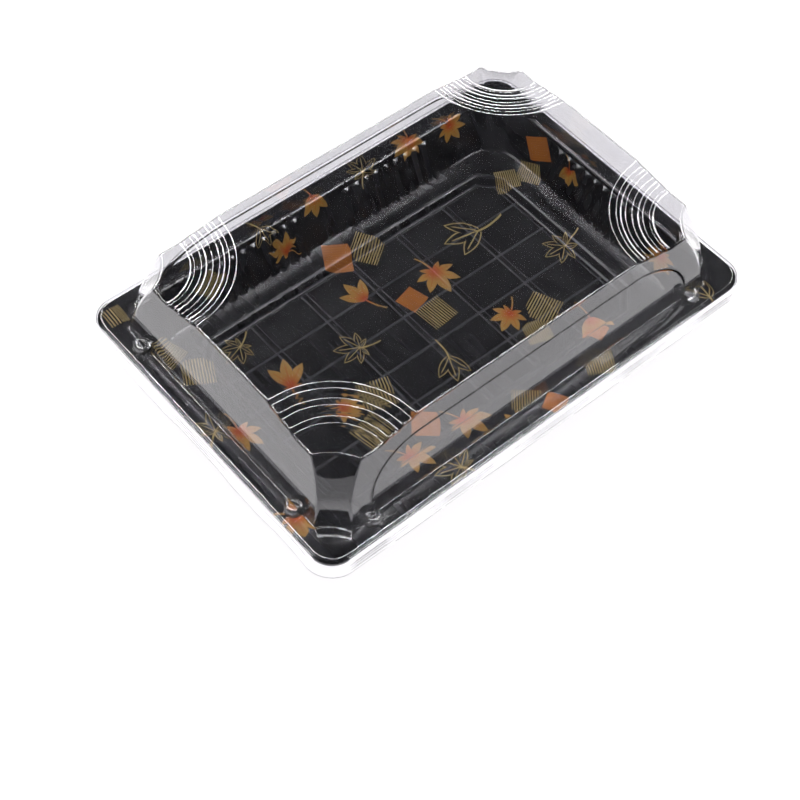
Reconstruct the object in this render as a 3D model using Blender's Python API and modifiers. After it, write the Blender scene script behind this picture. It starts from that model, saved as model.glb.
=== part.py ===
"""Takeaway sushi tray: a black formed tray with a clear domed lid snapped over its rim.

Metres, +Z up. The origin is under the middle of the tray, on the surface it stands on.
X runs along the tray, Y across it. Both pieces are thin formed sheets, open below the floor
and below the dome.
"""

import math

import bmesh
import bpy

MM = 0.001

# Tray: half sizes (along X, along Y) and heights of the upper surface of the sheet.
TRAY_SHEET = 0.5 * MM
FLOOR_HALF = (58.0 * MM, 33.1 * MM)
FLOOR_Z = TRAY_SHEET
FLOOR_CHAMFER = 5.6 * MM
RIDGE_HALF = (60.0 * MM, 35.0 * MM)
RIDGE_Z = 2.6 * MM
RIDGE_CHAMFER = 6.4 * MM
SHELF_HALF = (69.0 * MM, 42.9 * MM)
SHELF_Z = 3.8 * MM
SHELF_RADIUS = 10.0 * MM
SHOULDER_HALF = (74.9 * MM, 49.0 * MM)
SHOULDER_Z = 16.0 * MM
SHOULDER_RADIUS = 8.0 * MM
MOUTH_HALF = (76.2 * MM, 50.2 * MM)
MOUTH_RADIUS = 7.0 * MM
RIM_HALF = (80.0 * MM, 55.0 * MM)
RIM_RADIUS = 6.5 * MM
RIM_Z = 17.55 * MM
LIP_TURN = (0.75 * MM, 0.3 * MM)
LIP_EDGE = (1.1 * MM, 1.0 * MM)

# Upright flutes in the tray's walls.
FLUTE_PITCH = 4.0 * MM
FLUTE_DEPTH = 0.7 * MM
FLUTE_FOOT = 0.09
FLUTE_HEAD = 0.95
LONG_WALL_FLUTES = 9
LONG_WALL_PLAIN = 8.4 * MM
SHORT_WALL_FLUTES = 10

# Lid: the flange lies over the rim, the skirt hangs outside it and the dome stands on it.
LID_SHEET = 0.4 * MM
FLANGE_Z = RIM_Z + 0.3 * MM + LID_SHEET
FLANGE_TURN = (1.25 * MM, 0.5 * MM)
SKIRT_TOP = (1.9 * MM, 1.7 * MM)
SKIRT_EDGE = (2.65 * MM, 6.2 * MM)
DOME_FOOT = (75.2 * MM, 50.2 * MM)
DOME_TOP = (69.7 * MM, 44.3 * MM)
DOME_HEIGHT = 24.5 * MM
DOME_Z = FLANGE_Z + DOME_HEIGHT

# Fan at each corner of the dome: rings of steps down to a flat pocket, centred on the corner.
FAN_STEP = 0.93 * MM
FAN_RADII = (28.6 * MM, 26.4 * MM, 24.0 * MM, 20.6 * MM, 18.6 * MM, 16.6 * MM)
FAN_SEGMENTS = 56

# Scoop down each corner, from the pocket to the flange: (radius, distance outside the corner).
SCOOP_HIGH = (16.3 * MM, 6.0 * MM)
SCOOP_LOW = (12.5 * MM, 4.6 * MM)
SCOOP_SEGMENTS = 48

# Shallow arched panel in each long wall, and the studs round the dome's foot.
ARCH_HALF = 60.4 * MM
ARCH_RISE = 18.6 * MM
ARCH_SHOULDER = (20.0 * MM, 14.0 * MM)
ARCH_DEPTH = 0.6 * MM
STUD_RADIUS = 2.7 * MM
STUD_HEIGHT = 2.8 * MM
STUD_ON_LONG = (61.4 * MM, 49.6 * MM)
STUD_ON_SHORT = (74.8 * MM, 35.0 * MM)

CORNER_STEPS = 5
PAST = 3.0 * MM
CORNERS = ((1, 1), (-1, 1), (-1, -1), (1, -1))


def clear_scene():
    for thing in list(bpy.data.objects):
        bpy.data.objects.remove(thing, do_unlink=True)


def make_collection(name):
    collection = bpy.data.collections.new(name)
    bpy.context.scene.collection.children.link(collection)
    return collection


def make_material(name, colour, roughness, alpha=1.0):
    material = bpy.data.materials.new(name)
    material.use_nodes = True
    shader = material.node_tree.nodes["Principled BSDF"]
    shader.inputs["Base Color"].default_value = (*colour, 1.0)
    shader.inputs["Roughness"].default_value = roughness
    shader.inputs["Metallic"].default_value = 0.0
    shader.inputs["Alpha"].default_value = alpha
    return material


def finish(name, bm, collection, material=None):
    """Turns a bmesh into a named object. Without a material the object is a cutter."""
    mesh = bpy.data.meshes.new(name)
    bmesh.ops.recalc_face_normals(bm, faces=bm.faces[:])
    bm.to_mesh(mesh)
    bm.free()
    thing = bpy.data.objects.new(name, mesh)
    collection.objects.link(thing)
    if material:
        mesh.materials.append(material)
    else:
        thing.hide_render = True
        thing.display_type = "WIRE"
    return thing


def boolean(thing, operation, other):
    step = thing.modifiers.new(other.name, "BOOLEAN")
    step.operation = operation
    step.solver = "EXACT"
    step.object = other


def loft(bm, outlines, close_first=False, close_last=False, ring=False):
    """Skins a stack of outlines that all have the same number of points."""
    loops = [[bm.verts.new(point) for point in outline] for outline in outlines]
    pairs = list(zip(loops, loops[1:]))
    if ring:
        pairs.append((loops[-1], loops[0]))
    for lower, upper in pairs:
        for i in range(len(lower)):
            j = (i + 1) % len(lower)
            bm.faces.new((lower[i], lower[j], upper[j], upper[i]))
    if close_first:
        bm.faces.new(loops[0][::-1])
    if close_last:
        bm.faces.new(loops[-1])


def arc(centre, radius, start, steps):
    """Points of a quarter circle, anticlockwise from the start angle."""
    angles = [start + 0.5 * math.pi * i / steps for i in range(steps + 1)]
    return [(centre[0] + radius * math.cos(a), centre[1] + radius * math.sin(a)) for a in angles]


def chamfer(corner, size, quarter, steps):
    """Points of a straight corner cut, evenly spaced, in the same order as arc."""
    sx, sy = CORNERS[quarter]
    ends = [(corner[0], corner[1] - sy * size), (corner[0] - sx * size, corner[1])]
    if quarter % 2:
        ends.reverse()
    shares = [i / steps for i in range(steps + 1)]
    return [tuple(a + (b - a) * t for a, b in zip(*ends)) for t in shares]


def flute_stations(groups):
    """Distances along a wall, each with 1.0 on a flute's crest and 0.0 in a valley."""
    stations = []
    for first, count in groups:
        half = 0.5 * FLUTE_PITCH
        stations += [(first + half * i, float(i % 2)) for i in range(2 * count + 1)]
    return stations


def long_stations():
    length = LONG_WALL_FLUTES * FLUTE_PITCH
    return flute_stations(((-LONG_WALL_PLAIN - length, LONG_WALL_FLUTES), (LONG_WALL_PLAIN, LONG_WALL_FLUTES)))


def short_stations():
    return flute_stations(((-0.5 * SHORT_WALL_FLUTES * FLUTE_PITCH, SHORT_WALL_FLUTES),))


def tray_outline(half, z, radius=0.0, cut=0.0, depth=0.0):
    """One closed outline of the tray at height z, with rounded or cut corners and its flutes."""
    points = []
    for quarter, (sx, sy) in enumerate(CORNERS):
        if cut:
            points += chamfer((sx * half[0], sy * half[1]), cut, quarter, CORNER_STEPS)
        else:
            centre = (sx * (half[0] - radius), sy * (half[1] - radius))
            points += arc(centre, radius, 0.5 * math.pi * quarter, CORNER_STEPS)
        if quarter % 2:
            points += [(sx * (half[0] - depth * crest), sx * along) for along, crest in short_stations()]
        else:
            points += [(-sy * along, sy * (half[1] - depth * crest)) for along, crest in long_stations()]
    return [(x, y, z) for x, y in points]


def between(low, high, share):
    return tuple(a + (b - a) * share for a, b in zip(low, high))


def fluted_outline(share, depth):
    half = between(SHELF_HALF, SHOULDER_HALF, share)
    z = SHELF_Z + (SHOULDER_Z - SHELF_Z) * share
    radius = SHELF_RADIUS + (SHOULDER_RADIUS - SHELF_RADIUS) * share
    return tray_outline(half, z, radius, depth=depth)


def grown(half, offset):
    return (half[0] + offset, half[1] + offset)


def make_tray(collection, material):
    """The tray's upper surface as one open sheet, thickened downwards."""
    bm = bmesh.new()
    outlines = [
        tray_outline(FLOOR_HALF, FLOOR_Z, cut=FLOOR_CHAMFER),
        tray_outline(RIDGE_HALF, RIDGE_Z, cut=RIDGE_CHAMFER),
        fluted_outline(0.0, 0.0),
        fluted_outline(FLUTE_FOOT, FLUTE_DEPTH),
        fluted_outline(FLUTE_HEAD, FLUTE_DEPTH),
        fluted_outline(1.0, 0.0),
        tray_outline(MOUTH_HALF, RIM_Z, MOUTH_RADIUS),
        tray_outline(RIM_HALF, RIM_Z, RIM_RADIUS),
    ]
    for offset, drop in (LIP_TURN, LIP_EDGE):
        outlines.append(tray_outline(grown(RIM_HALF, offset), RIM_Z - drop, RIM_RADIUS + offset))
    loft(bm, outlines, close_first=True)
    tray = finish("tray", bm, collection, material)
    if tray.data.polygons[-1].normal.z < 0:
        tray.data.flip_normals()
    sheet = tray.modifiers.new("sheet", "SOLIDIFY")
    sheet.thickness = TRAY_SHEET
    sheet.offset = -1.0
    sheet.use_even_offset = True
    return tray


def rounded(half, radius, z):
    """A plain rounded rectangle at height z."""
    points = []
    for quarter, (sx, sy) in enumerate(CORNERS):
        centre = (sx * (half[0] - radius), sy * (half[1] - radius))
        points += arc(centre, radius, 0.5 * math.pi * quarter, CORNER_STEPS)
    return [(x, y, z) for x, y in points]


def dome_half(z):
    """Half sizes of the dome's outer surface at height z, carried on past its foot and top."""
    share = (z - FLANGE_Z) / DOME_HEIGHT
    return between(DOME_FOOT, DOME_TOP, share)


def dome_block(name, z_low, z_high, inset, collection, material=None):
    bm = bmesh.new()
    outlines = []
    for z in (z_low, z_high):
        x, y = grown(dome_half(z), -inset)
        outlines.append([(sx * x, sy * y, z) for sx, sy in CORNERS])
    loft(bm, outlines, close_first=True, close_last=True)
    return finish(name, bm, collection, material)


def fan_cutter(name, sink, collection):
    """What the four corner fans take off the dome's top. Sink moves it into the sheet."""
    low = DOME_Z - 3 * FAN_STEP - sink
    radii = [radius + 0.4 * sink for radius in FAN_RADII]
    profile = [(0.0, low), (radii[5], low), (radii[4], low + FAN_STEP), (radii[3], low + FAN_STEP)]
    profile += [(radii[2], low + 2 * FAN_STEP), (radii[1], low + 2 * FAN_STEP)]
    profile += [(radii[0], low + 3 * FAN_STEP), (radii[0] + 0.4 * PAST, DOME_Z + PAST), (0.0, DOME_Z + PAST)]
    bm = bmesh.new()
    for sx, sy in CORNERS:
        centre = (sx * DOME_TOP[0], sy * DOME_TOP[1], 0.0)
        verts = [bm.verts.new((centre[0] + r, centre[1], z)) for r, z in profile]
        edges = [bm.edges.new(pair) for pair in zip(verts, verts[1:])]
        bmesh.ops.spin(bm, geom=verts + edges, cent=centre, axis=(0, 0, 1), angle=2 * math.pi,
                       steps=FAN_SEGMENTS, use_merge=True)
    bmesh.ops.remove_doubles(bm, verts=bm.verts[:], dist=0.01 * MM)
    return finish(name, bm, collection)


def scoop_circle(end, corner, z, grow):
    radius, out = end
    sx, sy = corner
    half = dome_half(z)
    centre = (sx * (half[0] + out), sy * (half[1] + out))
    angles = [2 * math.pi * i / SCOOP_SEGMENTS for i in range(SCOOP_SEGMENTS)]
    return [(centre[0] + (radius + grow) * math.cos(a), centre[1] + (radius + grow) * math.sin(a), z) for a in angles]


def scoop_cutter(name, grow, collection):
    """Leaning cones that hollow the dome's corners from outside."""
    z_high = DOME_Z - 3 * FAN_STEP
    past = PAST / (z_high - FLANGE_Z)
    above = between(SCOOP_LOW, SCOOP_HIGH, 1.0 + past)
    below = between(SCOOP_LOW, SCOOP_HIGH, -past)
    bm = bmesh.new()
    for corner in CORNERS:
        ends = ((below, FLANGE_Z - PAST), (above, z_high + PAST))
        outlines = [scoop_circle(end, corner, z, grow) for end, z in ends]
        loft(bm, outlines, close_first=True, close_last=True)
    return finish(name, bm, collection)


def arch_cutter(name, depth, grow, collection):
    """Arch-shaped slabs that follow the long walls' slope and set a panel back into them."""
    half, rise = ARCH_HALF + grow, ARCH_RISE + grow
    spring = (half - ARCH_SHOULDER[0], FLANGE_Z + rise - ARCH_SHOULDER[1])
    right = [(spring[0] + ARCH_SHOULDER[0] * x, spring[1] + ARCH_SHOULDER[1] * y) for x, y in arc((0, 0), 1.0, 0.0, 8)]
    face = [(half, FLANGE_Z - PAST)] + right
    face += [(-x, z) for x, z in reversed(face)]
    bm = bmesh.new()
    for side in (1, -1):
        outlines = [[(x, side * (dome_half(z)[1] + out), z) for x, z in face] for out in (-depth, PAST)]
        loft(bm, outlines, close_first=True, close_last=True)
    return finish(name, bm, collection)


def stud_places():
    places = []
    for x, y in (STUD_ON_LONG, STUD_ON_SHORT):
        places += [(sx * x, sy * y) for sx, sy in CORNERS]
    return places


def stud_block(name, radius, z_low, z_high, collection):
    bm = bmesh.new()
    for x, y in stud_places():
        made = bmesh.ops.create_cone(bm, cap_ends=True, segments=14, radius1=radius, radius2=0.8 * radius,
                                     depth=z_high - z_low)
        bmesh.ops.translate(bm, verts=made["verts"], vec=(x, y, 0.5 * (z_low + z_high)))
    return finish(name, bm, collection)


def cap_block(name, collection):
    """The flange as a plain plate with its skirt, before the dome is opened through it."""
    outside = [(0.0, 0.0), FLANGE_TURN, SKIRT_TOP, SKIRT_EDGE]
    inside = [(SKIRT_EDGE[0] - LID_SHEET, SKIRT_EDGE[1]), (SKIRT_TOP[0] - LID_SHEET, SKIRT_TOP[1])]
    inside += [(FLANGE_TURN[0] - 0.7 * LID_SHEET, FLANGE_TURN[1] + 0.7 * LID_SHEET), (0.0, LID_SHEET)]
    bm = bmesh.new()
    outlines = [rounded(grown(RIM_HALF, out), RIM_RADIUS + out, FLANGE_Z - drop) for out, drop in outside + inside]
    loft(bm, outlines, close_first=True, close_last=True)
    return finish(name, bm, collection)


def make_lid(collection, cutters, material):
    """The dome joined to the flange, with its inside cut out so that an even sheet is left."""
    side = LID_SHEET * math.hypot(DOME_HEIGHT, DOME_FOOT[0] - DOME_TOP[0]) / DOME_HEIGHT
    inside = dome_block("dome_inside", FLANGE_Z - PAST, DOME_Z - LID_SHEET, side, cutters)
    boolean(inside, "DIFFERENCE", fan_cutter("fans_inside", LID_SHEET, cutters))
    boolean(inside, "DIFFERENCE", scoop_cutter("scoops_inside", LID_SHEET, cutters))
    boolean(inside, "DIFFERENCE", arch_cutter("arches_inside", ARCH_DEPTH + side, LID_SHEET, cutters))

    lid = dome_block("lid", FLANGE_Z - 0.5 * LID_SHEET, DOME_Z, 0.0, collection, material)
    boolean(lid, "DIFFERENCE", fan_cutter("fans", 0.0, cutters))
    boolean(lid, "DIFFERENCE", scoop_cutter("scoops", 0.0, cutters))
    boolean(lid, "DIFFERENCE", arch_cutter("arches", ARCH_DEPTH, 0.0, cutters))
    boolean(lid, "UNION", cap_block("cap", cutters))
    boolean(lid, "UNION", stud_block("studs", STUD_RADIUS, FLANGE_Z - 0.25 * LID_SHEET, FLANGE_Z + STUD_HEIGHT, cutters))
    boolean(lid, "DIFFERENCE", inside)
    hollow = stud_block("studs_inside", STUD_RADIUS - LID_SHEET, FLANGE_Z - PAST,
                        FLANGE_Z + STUD_HEIGHT - LID_SHEET, cutters)
    boolean(lid, "DIFFERENCE", hollow)
    return lid


def main():
    clear_scene()
    parts = make_collection("takeaway_sushi_tray")
    cutters = make_collection("cutters")
    black = make_material("black_sheet", (0.012, 0.012, 0.014), 0.22)
    clear = make_material("clear_sheet", (0.9, 0.91, 0.93), 0.05, alpha=0.3)
    make_tray(parts, black)
    make_lid(parts, cutters, clear)


main()
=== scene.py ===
import math

import bmesh
import bpy
from mathutils import Matrix, Vector


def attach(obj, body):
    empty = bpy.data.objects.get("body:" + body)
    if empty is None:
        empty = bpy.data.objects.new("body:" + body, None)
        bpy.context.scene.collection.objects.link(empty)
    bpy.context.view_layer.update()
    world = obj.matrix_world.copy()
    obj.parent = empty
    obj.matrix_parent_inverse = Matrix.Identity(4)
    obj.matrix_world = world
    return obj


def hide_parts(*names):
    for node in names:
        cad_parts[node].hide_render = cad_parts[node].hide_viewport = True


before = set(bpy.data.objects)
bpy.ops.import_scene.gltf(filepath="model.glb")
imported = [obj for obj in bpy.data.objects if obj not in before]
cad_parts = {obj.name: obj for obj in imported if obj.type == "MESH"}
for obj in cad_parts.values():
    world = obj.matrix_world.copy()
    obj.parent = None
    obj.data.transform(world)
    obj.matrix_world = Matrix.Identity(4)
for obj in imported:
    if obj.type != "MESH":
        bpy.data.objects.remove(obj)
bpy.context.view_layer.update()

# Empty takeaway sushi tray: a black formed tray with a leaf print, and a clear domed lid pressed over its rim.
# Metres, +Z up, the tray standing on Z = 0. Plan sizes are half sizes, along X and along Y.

MM = 0.001

# Tray
TRAY_SHEET = 0.45 * MM
FLOOR_HALF = (58.0 * MM, 33.1 * MM)
FLOOR_CUT = 5.6 * MM
FLOOR_Z = 0.5 * MM
SHELF_HALF = (69.0 * MM, 42.85 * MM)
SHELF_Z = 3.85 * MM
SHOULDER_HALF = (74.8 * MM, 48.9 * MM)
SHOULDER_Z = 16.3 * MM
RIM_Z = 17.55 * MM
FLUTE_PITCH = 4.0 * MM
FLUTE_DEPTH = 0.85 * MM
FLUTE_STEPS = 6
FILLET = 1.2 * MM
FILLET_LEANS = (12.0, 19.0, 26.0, 33.0, 41.0, 52.0, 64.0)
LONG_FLUTES = (8.4 * MM, 9)
SHORT_FLUTES = (-20.0 * MM, 10)
LONG_STRAIGHT = 44.4 * MM
SHORT_STRAIGHT = 20.0 * MM
WIDE_RIBS = (-38.6 * MM, -19.3 * MM, 0.0, 19.3 * MM, 38.6 * MM)
THIN_RIBS = (-19.8 * MM, -6.6 * MM, 6.6 * MM, 19.8 * MM)
RIB_HEIGHT = 0.17 * MM

# Lid
LID_SHEET = 0.36 * MM
FLANGE_Z = 18.25 * MM
DOME_FOOT = (75.2 * MM, 50.2 * MM)
DOME_TOP = (69.7 * MM, 44.3 * MM)
DOME_HEIGHT = 24.5 * MM
DOME_Z = FLANGE_Z + DOME_HEIGHT
STEP_DROP = 0.93 * MM
SCOOP_HIGH = (16.3 * MM, 6.0 * MM)
SCOOP_LOW = (12.5 * MM, 4.6 * MM)
SCOOP_BULGE = 1.1 * MM
ARCH_HALF = 60.4 * MM
ARCH_RISE = 18.6 * MM
ARCH_SHOULDER = (20.0 * MM, 14.0 * MM)
ARCH_DEPTH = 0.6 * MM
ARCH_BAND = 0.9 * MM
ARCH_BEAD = 0.3 * MM
FLANGE_HALF = (80.0 * MM, 55.0 * MM)
FLANGE_RADIUS = 6.5 * MM


def lerp(a, b, t):
    return a + (b - a) * t


def pair(a, b, t):
    return (lerp(a[0], b[0], t), lerp(a[1], b[1], t))


def smooth(low, high, value):
    t = min(max((value - low) / (high - low), 0.0), 1.0)
    return t * t * (3.0 - 2.0 * t)


def new_piece(name, bm, material, node=None):
    mesh = bpy.data.meshes.new(name)
    bm.to_mesh(mesh)
    bm.free()
    piece = bpy.data.objects.new(name, mesh)
    bpy.context.scene.collection.objects.link(piece)
    mesh.materials.append(material)
    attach(piece, "root")
    if node:
        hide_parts(node)
    return piece


def thicken(piece, thickness):
    sheet = piece.modifiers.new("sheet", "SOLIDIFY")
    sheet.thickness = thickness
    sheet.offset = -1.0
    sheet.use_even_offset = True


def face_up(bm):
    bmesh.ops.recalc_face_normals(bm, faces=bm.faces[:])
    highest = max(bm.faces, key=lambda face: abs(face.normal.z) * face.calc_area())
    if highest.normal.z < 0:
        bmesh.ops.reverse_faces(bm, faces=bm.faces[:])


# ---------------------------------------------------------------- tray mesh

def stations(half, ribs, rib_offsets, flute_groups, cut):
    """Where the tray's floor and walls are divided along one side."""
    marks = [-half, half, -(half - cut), half - cut]
    marks += [side * (half - cut * step / 4.0) for side in (1, -1) for step in (1, 2, 3)]
    for rib in ribs:
        marks += [rib + offset * MM for offset in rib_offsets]
    for start, count in flute_groups:
        marks += [start + FLUTE_PITCH * i / FLUTE_STEPS for i in range(count * FLUTE_STEPS + 1)]
    marks.sort()
    kept = [marks[0]]
    for mark in marks[1:]:
        if mark - kept[-1] > 0.1 * MM:
            kept.append(mark)
    kept[-1] = half
    return kept


def mirrored(offsets):
    return [side * offset for side in (-1, 1) for offset in offsets]


def rib_height(x, y):
    wide = max(1.0 - smooth(0.6 * MM, 1.05 * MM, abs(x - rib)) for rib in WIDE_RIBS)
    thin = max(0.8 * (1.0 - smooth(0.1 * MM, 0.6 * MM, abs(y - rib))) for rib in THIN_RIBS)
    edge = min(FLOOR_HALF[0] - abs(x), FLOOR_HALF[1] - abs(y))
    return RIB_HEIGHT * max(wide, thin) * smooth(0.0, 1.2 * MM, edge)


def floor_point(x, y):
    """Moves a point of the rectangular floor grid, so that the corners are cut."""
    straight = (FLOOR_HALF[0] - FLOOR_CUT, FLOOR_HALF[1] - FLOOR_CUT)
    s, t = (abs(x) - straight[0]) / FLOOR_CUT, (abs(y) - straight[1]) / FLOOR_CUT
    z = FLOOR_Z + rib_height(x, y)
    if s <= 0.0 or t <= 0.0:
        return Vector((x, y, z))
    pull = 0.5 * FLOOR_CUT * s * t
    return Vector((math.copysign(abs(x) - pull, x), math.copysign(abs(y) - pull, y), z))


def flute_crest(along, groups):
    """1.0 on the crest of a flute, 0.0 between flutes and on plain wall."""
    for start, count in groups:
        share = (along - start) / FLUTE_PITCH
        if 0.0 <= share <= count:
            return 0.5 - 0.5 * math.cos(2.0 * math.pi * share)
    return 0.0


LONG_GROUPS = ((LONG_FLUTES[0], LONG_FLUTES[1]), (-LONG_FLUTES[0] - LONG_FLUTES[1] * FLUTE_PITCH, LONG_FLUTES[1]))
SHORT_GROUPS = (SHORT_FLUTES,)


def wall_point(x, y, half, radius, z, roundness, depth):
    """A point of one outline of the tray's wall, for the floor's edge point it grows from."""
    sx, sy = math.copysign(1.0, x), math.copysign(1.0, y)
    ax, ay = abs(x), abs(y)
    straight = (FLOOR_HALF[0] - FLOOR_CUT, FLOOR_HALF[1] - FLOOR_CUT)
    reach = (half[0] - radius, half[1] - radius)
    past_x, past_y = (ax - straight[0]) / FLOOR_CUT, (ay - straight[1]) / FLOOR_CUT
    if past_x <= 1e-6 and past_y > 0.9:
        along = ax if ax < LONG_STRAIGHT else lerp(LONG_STRAIGHT, reach[0],
                                                   (ax - LONG_STRAIGHT) / (straight[0] - LONG_STRAIGHT))
        return Vector((sx * along, sy * (half[1] - depth * flute_crest(sx * along, LONG_GROUPS)), z))
    if past_y <= 1e-6 and past_x > 0.9:
        along = ay if ay < SHORT_STRAIGHT else lerp(SHORT_STRAIGHT, reach[1],
                                                    (ay - SHORT_STRAIGHT) / (straight[1] - SHORT_STRAIGHT))
        return Vector((sx * (half[0] - depth * flute_crest(sy * along, SHORT_GROUPS)), sy * along, z))
    turn = 0.5 * past_x if past_y > 1.0 - 1e-6 else 1.0 - 0.5 * past_y
    angle = 0.5 * math.pi * (1.0 - turn)
    lobe = 0.45 * depth * (0.5 - 0.5 * math.cos(8.0 * math.pi * turn))
    arc = ((radius - lobe) * math.cos(angle), (radius - lobe) * math.sin(angle))
    cut = (radius * turn, radius * (1.0 - turn))
    corner = pair(cut, arc, roundness)
    return Vector((sx * (reach[0] + corner[0]), sy * (reach[1] + corner[1]), z))


def wall_rows():
    """Outlines of the tray from the floor's edge to the lip: half sizes, radius, height, roundness, flute depth."""
    foot = ((58.3, 33.35, 0.53, 5.7, 0.0), (58.5, 33.5, 0.62, 5.75, 0.0), (58.65, 33.65, 0.78, 5.8, 0.05),
            (59.4, 34.3, 1.68, 6.0, 0.1), (60.15, 34.95, 2.58, 6.2, 0.15), (60.3, 35.1, 2.74, 6.3, 0.2),
            (60.55, 35.3, 2.9, 6.4, 0.2), (61.0, 35.7, 3.03, 6.5, 0.25),
            (61.9, 36.4, 3.1, 6.8, 0.3), (62.8, 37.2, 3.12, 7.2, 0.4), (64.4, 38.6, 3.2, 8.0, 0.6),
            (66.2, 40.2, 3.4, 9.0, 0.8), (66.9, 40.9, 3.52, 9.2, 0.9))
    rows = [((hx * MM, hy * MM), radius * MM, z * MM, roundness, 0.0) for hx, hy, z, radius, roundness in foot]
    for lean in FILLET_LEANS:
        out = 68.38 * MM + FILLET * (math.sin(math.radians(lean)) - math.sin(math.radians(FILLET_LEANS[0])))
        up = 3.64 * MM + FILLET * (math.cos(math.radians(FILLET_LEANS[0])) - math.cos(math.radians(lean)))
        rows.append(((out, out - 26.15 * MM), 9.7 * MM, up, 1.0, FLUTE_DEPTH))
    for share in (0.06, 0.12, 0.2, 0.4, 0.6, 0.8, 0.87, 0.895, 0.91, 0.925, 0.94, 0.955, 0.97, 1.0):
        depth = FLUTE_DEPTH * (1.0 - smooth(0.89, 0.96, share))
        rows.append((pair(SHELF_HALF, SHOULDER_HALF, share), lerp(9.8, 8.2, share) * MM,
                     lerp(SHELF_Z, SHOULDER_Z, share), 1.0, depth))
    head = ((75.0, 49.1, 16.75, 8.0), (75.4, 49.4, 17.1, 7.8), (75.9, 49.9, 17.38, 7.4), (76.5, 50.5, 17.52, 7.1),
            (77.2, 51.2, 17.55, 6.9), (79.4, 54.4, 17.55, 6.5), (80.0, 55.0, 17.5, 6.6), (80.5, 55.5, 17.32, 6.8),
            (80.85, 55.85, 17.0, 6.9), (81.05, 56.05, 16.55, 7.0))
    rows += [((hx * MM, hy * MM), radius * MM, z * MM, 1.0, 0.0) for hx, hy, z, radius in head]
    return rows


def make_tray(material):
    xs = stations(FLOOR_HALF[0], WIDE_RIBS, mirrored((0.4, 0.6, 0.75, 0.9, 1.05, 1.25)), LONG_GROUPS, FLOOR_CUT)
    ys = stations(FLOOR_HALF[1], THIN_RIBS, mirrored((0.1, 0.25, 0.4, 0.6, 0.8)), SHORT_GROUPS, FLOOR_CUT)
    bm = bmesh.new()
    bmesh.ops.create_grid(bm, x_segments=len(xs) - 1, y_segments=len(ys) - 1, size=0.5)
    source = {}
    for vert in bm.verts:
        i = round((vert.co.x + 0.5) * (len(xs) - 1))
        j = round((vert.co.y + 0.5) * (len(ys) - 1))
        source[vert] = (xs[i], ys[j])
        vert.co = floor_point(xs[i], ys[j])
    edges = [edge for edge in bm.edges if edge.is_boundary]
    for half, radius, z, roundness, depth in wall_rows():
        made = bmesh.ops.extrude_edge_only(bm, edges=edges)["geom"]
        fresh = {item for item in made if isinstance(item, bmesh.types.BMVert)}
        for vert in fresh:
            below = next(edge.other_vert(vert) for edge in vert.link_edges if edge.other_vert(vert) not in fresh)
            source[vert] = source[below]
            vert.co = wall_point(*source[vert], half, radius, z, roundness, depth)
        edges = [item for item in made if isinstance(item, bmesh.types.BMEdge) and item.is_boundary]
    for face in bm.faces:
        face.smooth = True
    face_up(bm)
    tray = new_piece("printed_tray", bm, material, "tray")
    thicken(tray, TRAY_SHEET)
    return tray


# ---------------------------------------------------------------- lid mesh

def dome_half(z):
    return pair(DOME_FOOT, DOME_TOP, (z - FLANGE_Z) / DOME_HEIGHT)


def rounded_line(points, reach, steps):
    """Rounds the inner corners of a line of points."""
    out = [points[0]]
    for before, here, after in zip(points, points[1:], points[2:]):
        a, b, c = Vector(before), Vector(here), Vector(after)
        short = min(reach, 0.4 * (a - b).length, 0.4 * (c - b).length)
        start = b + (a - b).normalized() * short
        end = b + (c - b).normalized() * short
        for i in range(steps + 1):
            t = i / steps
            out.append(tuple(start * (1 - t) ** 2 + b * 2 * t * (1 - t) + end * t * t))
    out.append(points[-1])
    return out


def corner_rows():
    """Circles of the dome's corner from the flat top down to the flange: centre, radius, height."""
    fan = [(29.8, 0.0), (28.6, 0.0), (26.4, 0.86), (25.4, 0.86), (24.8, 1.0), (23.7, 1.0), (21.7, 1.86),
           (20.2, 1.86), (19.6, 2.0), (18.5, 2.0), (16.5, 2.86), (15.7, 2.86), (15.1, 3.0), (14.4, 3.0)]
    line = [(r * MM, DOME_Z - drop * STEP_DROP) for r, drop in fan]
    rows = [(DOME_TOP, r, z) for r, z in rounded_line(line, 0.45 * MM, 3)]
    z_high = DOME_Z - 3 * STEP_DROP
    for share in (1.0, 0.85, 0.7, 0.55, 0.4, 0.25, 0.1, 0.0):
        radius, out = pair(SCOOP_LOW, SCOOP_HIGH, share)
        out += SCOOP_BULGE * math.sin(math.pi * share)
        z = lerp(FLANGE_Z, z_high, share)
        half = dome_half(z)
        rows.append(((half[0] + out, half[1] + out), radius, z))
    return rows


def corner_point(row, u):
    """A point on one circle of the corner, from the short wall (u = 0) to the long wall (u = 1)."""
    (cx, cy), radius, z = row
    x_wall, y_wall = dome_half(z)
    first = math.atan2(-math.sqrt(radius ** 2 - (x_wall - cx) ** 2), x_wall - cx)
    last = math.atan2(y_wall - cy, -math.sqrt(radius ** 2 - (y_wall - cy) ** 2))
    first += 2 * math.pi if first < 0 else 0.0
    last += 2 * math.pi if last < 0 else 0.0
    angle = lerp(first, last, u)
    return Vector((cx + radius * math.cos(angle), cy + radius * math.sin(angle), z))


def foot_marks(length, extra):
    """Where the dome's foot is divided along one side."""
    count = round(length / (3.0 * MM))
    marks = [-length + 2 * length * (i + 0.5) / count for i in range(count)]
    marks += extra
    marks.sort()
    return [mark for mark, after in zip(marks, marks[1:] + [1.0]) if after - mark > 0.25 * MM or mark in extra]


def chain(bm, first, last, points):
    """Joins two vertices by a line of edges through the points."""
    verts = [first] + [bm.verts.new(point) for point in points] + [last]
    return [bm.edges.new(two) for two in zip(verts, verts[1:])]


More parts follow.
